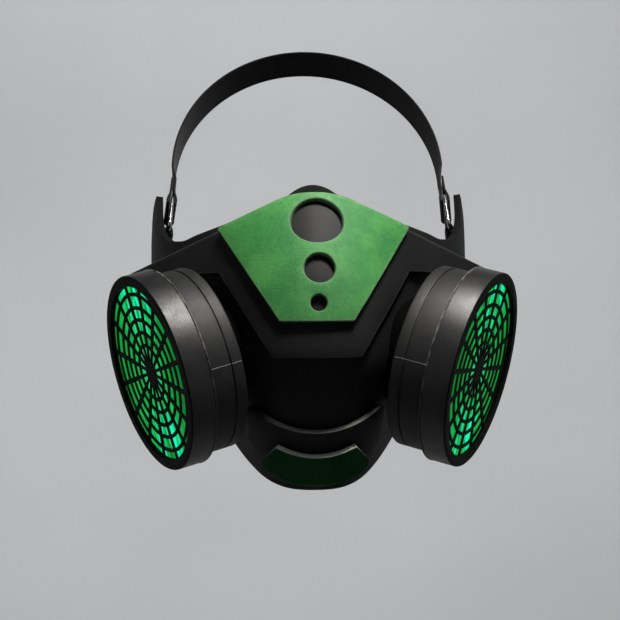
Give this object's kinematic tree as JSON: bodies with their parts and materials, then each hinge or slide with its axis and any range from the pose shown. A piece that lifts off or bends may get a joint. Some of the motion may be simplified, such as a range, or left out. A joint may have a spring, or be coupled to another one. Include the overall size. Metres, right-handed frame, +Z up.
{
  "type": "half-face respirator mask",
  "caption": "Half-face respirator mask with round filter canisters on the cheeks, layered leather panels and a strap round the head.",
  "frame": {"origin": "the point where the pad behind the top edge sits on the bridge of the wearer's nose", "axes": "+X to the wearer's left, +Y straight into the face, +Z up the face"},
  "size_m": [0.2202, 0.2301, 0.2465],
  "materials": {
    "black_leather": "satin black",
    "shield_leather": "satin black",
    "green_leather": "satin green dye",
    "pad": "soft matt",
    "canister_plastic": "satin",
    "grille_plastic": "matt",
    "glow_plastic": "lit from behind",
    "neck_plastic": "matt",
    "steel": "polished",
    "keeper_leather": "raw, creased",
    "webbing": "woven"
  },
  "bodies": {
    "root": {"base_shell": "black_leather", "nose_pad": "pad", "front_shield": "shield_leather", "nose_panel": "green_leather", "chin_guard": "black_leather", "chin_panel": "green_leather", "filter_body_left": "canister_plastic", "filter_body_right": "canister_plastic", "filter_cap_left": "canister_plastic", "filter_cap_right": "canister_plastic", "filter_grille_left": "grille_plastic", "filter_grille_right": "grille_plastic", "filter_diffuser_left": "glow_plastic", "filter_diffuser_right": "glow_plastic", "filter_neck_left": "neck_plastic", "filter_neck_right": "neck_plastic", "strap_ring_left": "steel", "strap_ring_right": "steel", "ring_keeper_left": "keeper_leather", "ring_keeper_right": "keeper_leather", "head_strap": "webbing"}
  },
  "joints": []
}
